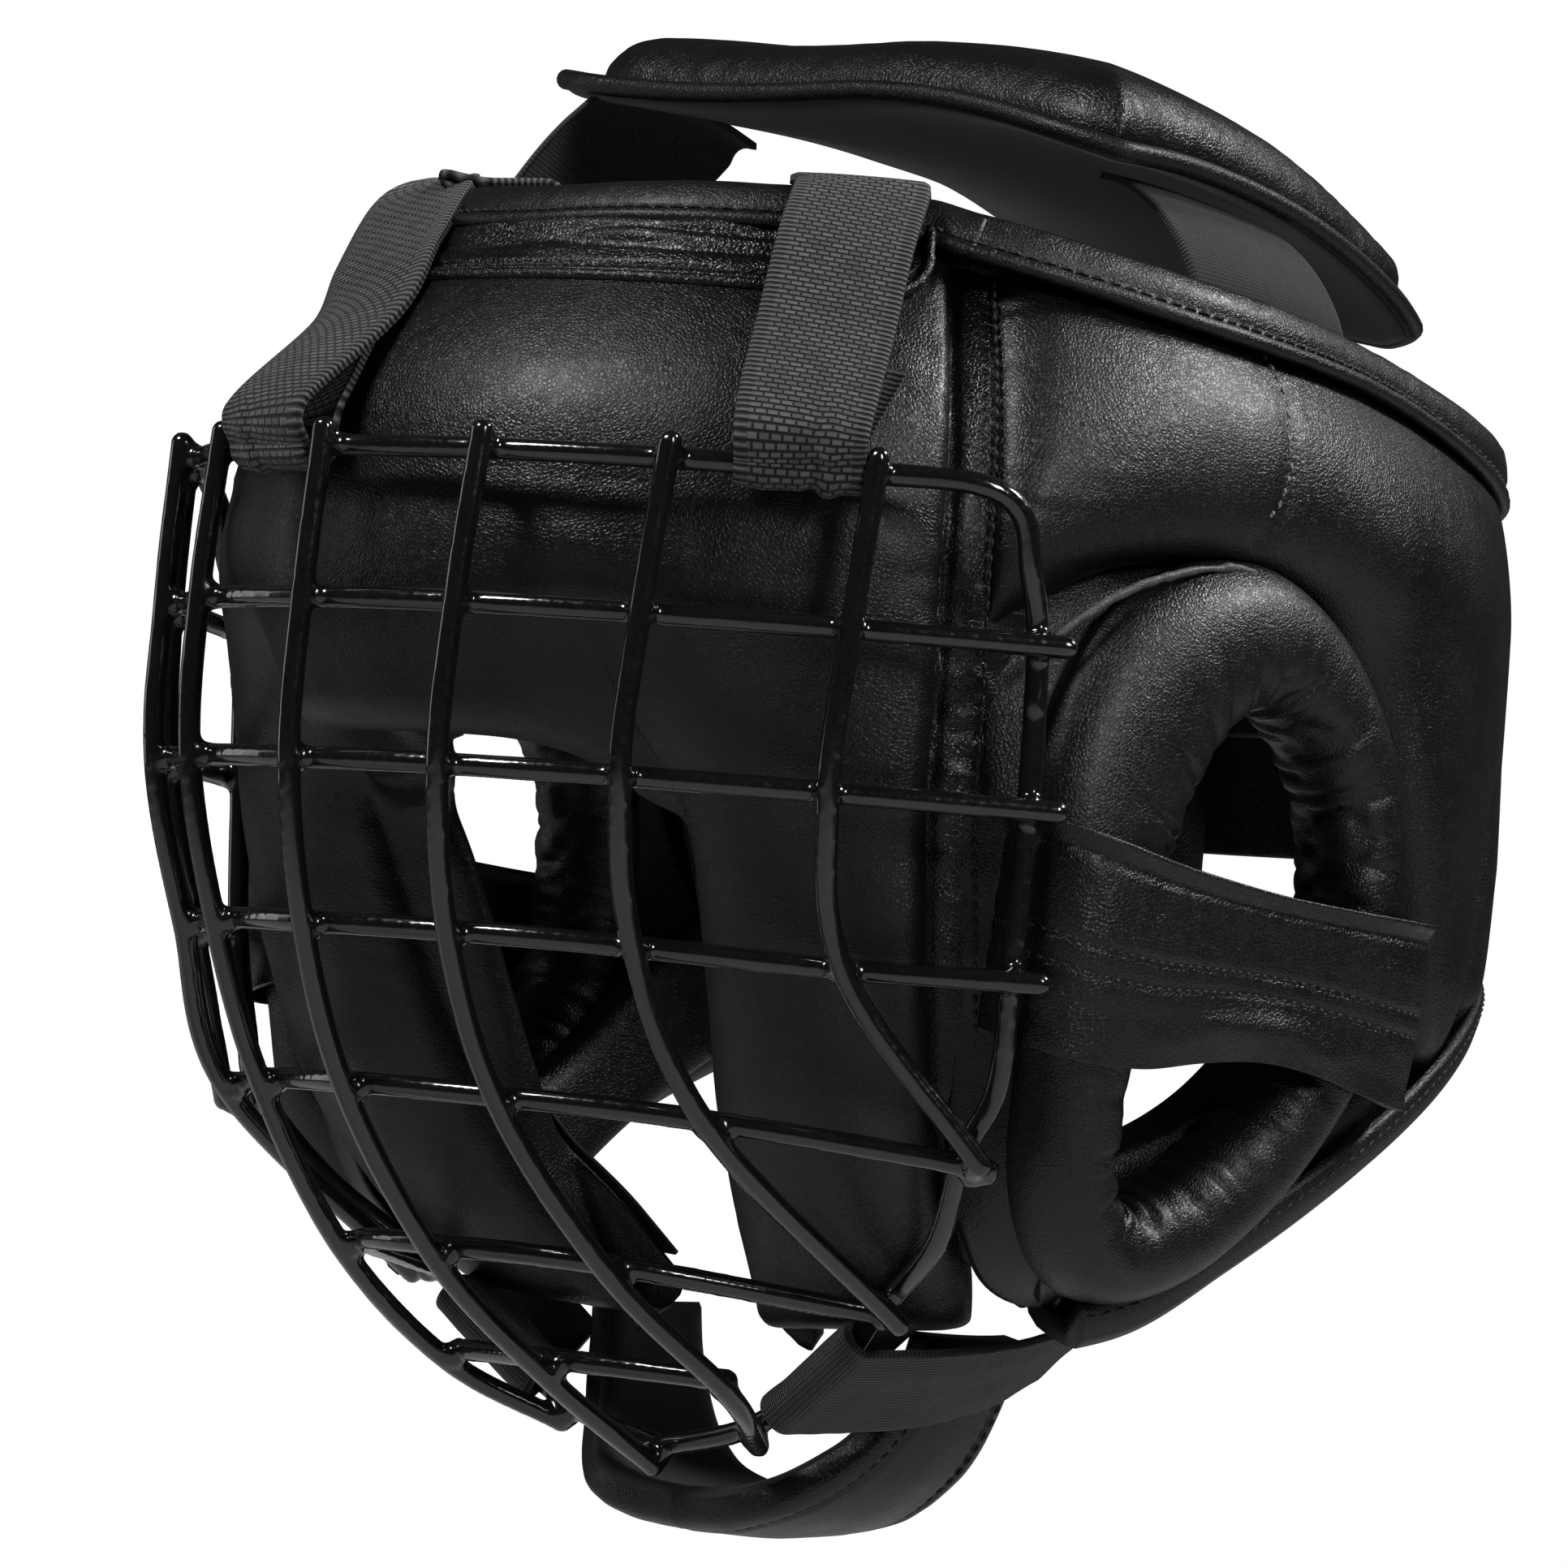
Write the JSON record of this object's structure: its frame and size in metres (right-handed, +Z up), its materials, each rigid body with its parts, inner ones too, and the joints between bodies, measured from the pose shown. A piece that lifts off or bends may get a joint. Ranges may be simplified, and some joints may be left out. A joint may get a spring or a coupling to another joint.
{
  "type": "boxing headgear",
  "caption": "Padded leather boxing headguard with ear hoops, crown pad, chin sling, rear closure flap and a coated wire face cage that tips up.",
  "frame": {"origin": "centre of the head it is worn on, on the head mount", "axes": "+Z up, -Y the way the face looks, +X towards the wearer's left"},
  "size_m": [0.237, 0.3045, 0.299],
  "materials": {
    "black_leather": "fine grain, soft gloss",
    "foam_core": "dense closed-cell foam",
    "suede_lining": "brushed",
    "edge_binding": "folded and stitched",
    "knit_elastic": "fine rib knit",
    "nylon_webbing": "basket weave",
    "coated_wire": "glossy dip coating",
    "hook_and_loop": "pile",
    "blank_label": "plain woven, blank"
  },
  "bodies": {
    "headguard": {"brow_flap": "black_leather", "brow_foam": "foam_core", "brow_leather": "black_leather", "brow_lining": "suede_lining", "cage_strap_left": "nylon_webbing", "cage_strap_right": "nylon_webbing", "cheek_foam_left": "foam_core", "cheek_foam_right": "foam_core", "cheek_leather_left": "black_leather", "cheek_leather_right": "black_leather", "cheek_lining_left": "suede_lining", "cheek_lining_right": "suede_lining", "crown_cover": "black_leather", "crown_elastic_left": "knit_elastic", "crown_elastic_right": "knit_elastic", "crown_foam": "foam_core", "ear_cuff_left": "black_leather", "ear_cuff_right": "black_leather", "ear_hoop_left": "black_leather", "ear_hoop_right": "black_leather", "jaw_side_left": "black_leather", "jaw_side_right": "black_leather", "nape_binding_left": "edge_binding", "nape_binding_right": "edge_binding", "rear_foam_left": "foam_core", "rear_foam_right": "foam_core", "rear_leather_left": "black_leather", "rear_leather_right": "black_leather", "rear_lining_left": "suede_lining", "rear_lining_right": "suede_lining", "rear_loop_tape": "hook_and_loop", "rear_tongue": "black_leather", "rim_binding_front": "edge_binding", "rim_binding_left": "edge_binding", "rim_binding_right": "edge_binding", "temple_foam_left": "foam_core", "temple_foam_right": "foam_core", "temple_leather_left": "black_leather", "temple_leather_right": "black_leather"},
    "cage": {"cage_crossbar_1": "coated_wire", "cage_crossbar_2": "coated_wire", "cage_crossbar_3": "coated_wire", "cage_crossbar_4": "coated_wire", "cage_crossbar_5": "coated_wire", "cage_crossbar_6": "coated_wire", "cage_frame": "coated_wire", "cage_upright_1": "coated_wire", "cage_upright_2": "coated_wire", "cage_upright_3": "coated_wire", "cage_upright_4": "coated_wire", "cage_upright_5": "coated_wire", "cage_upright_6": "coated_wire", "cage_upright_7": "coated_wire", "chin_band_left": "knit_elastic", "chin_band_right": "knit_elastic"},
    "chin_sling": {"chin_cup_leather": "black_leather", "chin_cup_foam": "foam_core"},
    "rear_closure": {"rear_flap": "black_leather", "rear_hook_tape": "hook_and_loop", "rear_label": "blank_label"}
  },
  "joints": [
    {"name": "cage_lift", "type": "hinge", "parent": "headguard", "child": "cage", "pos_m": [0, -0.118, 0.081], "axis": [-1, 0, 0], "range_deg": [0, 55], "deforming": ["cage_strap_left", "cage_strap_right"]},
    {"name": "chin_sling_drop", "type": "hinge", "parent": "headguard", "child": "chin_sling", "pos_m": [-0.05, -0.004, -0.076], "axis": [0, 1, 0], "range_deg": [0, 30]},
    {"name": "rear_flap_open", "type": "hinge", "parent": "headguard", "child": "rear_closure", "pos_m": [-0.04591, 0.13409, 0.05], "axis": [0, 0, 1], "range_deg": [0, 100]}
  ]
}
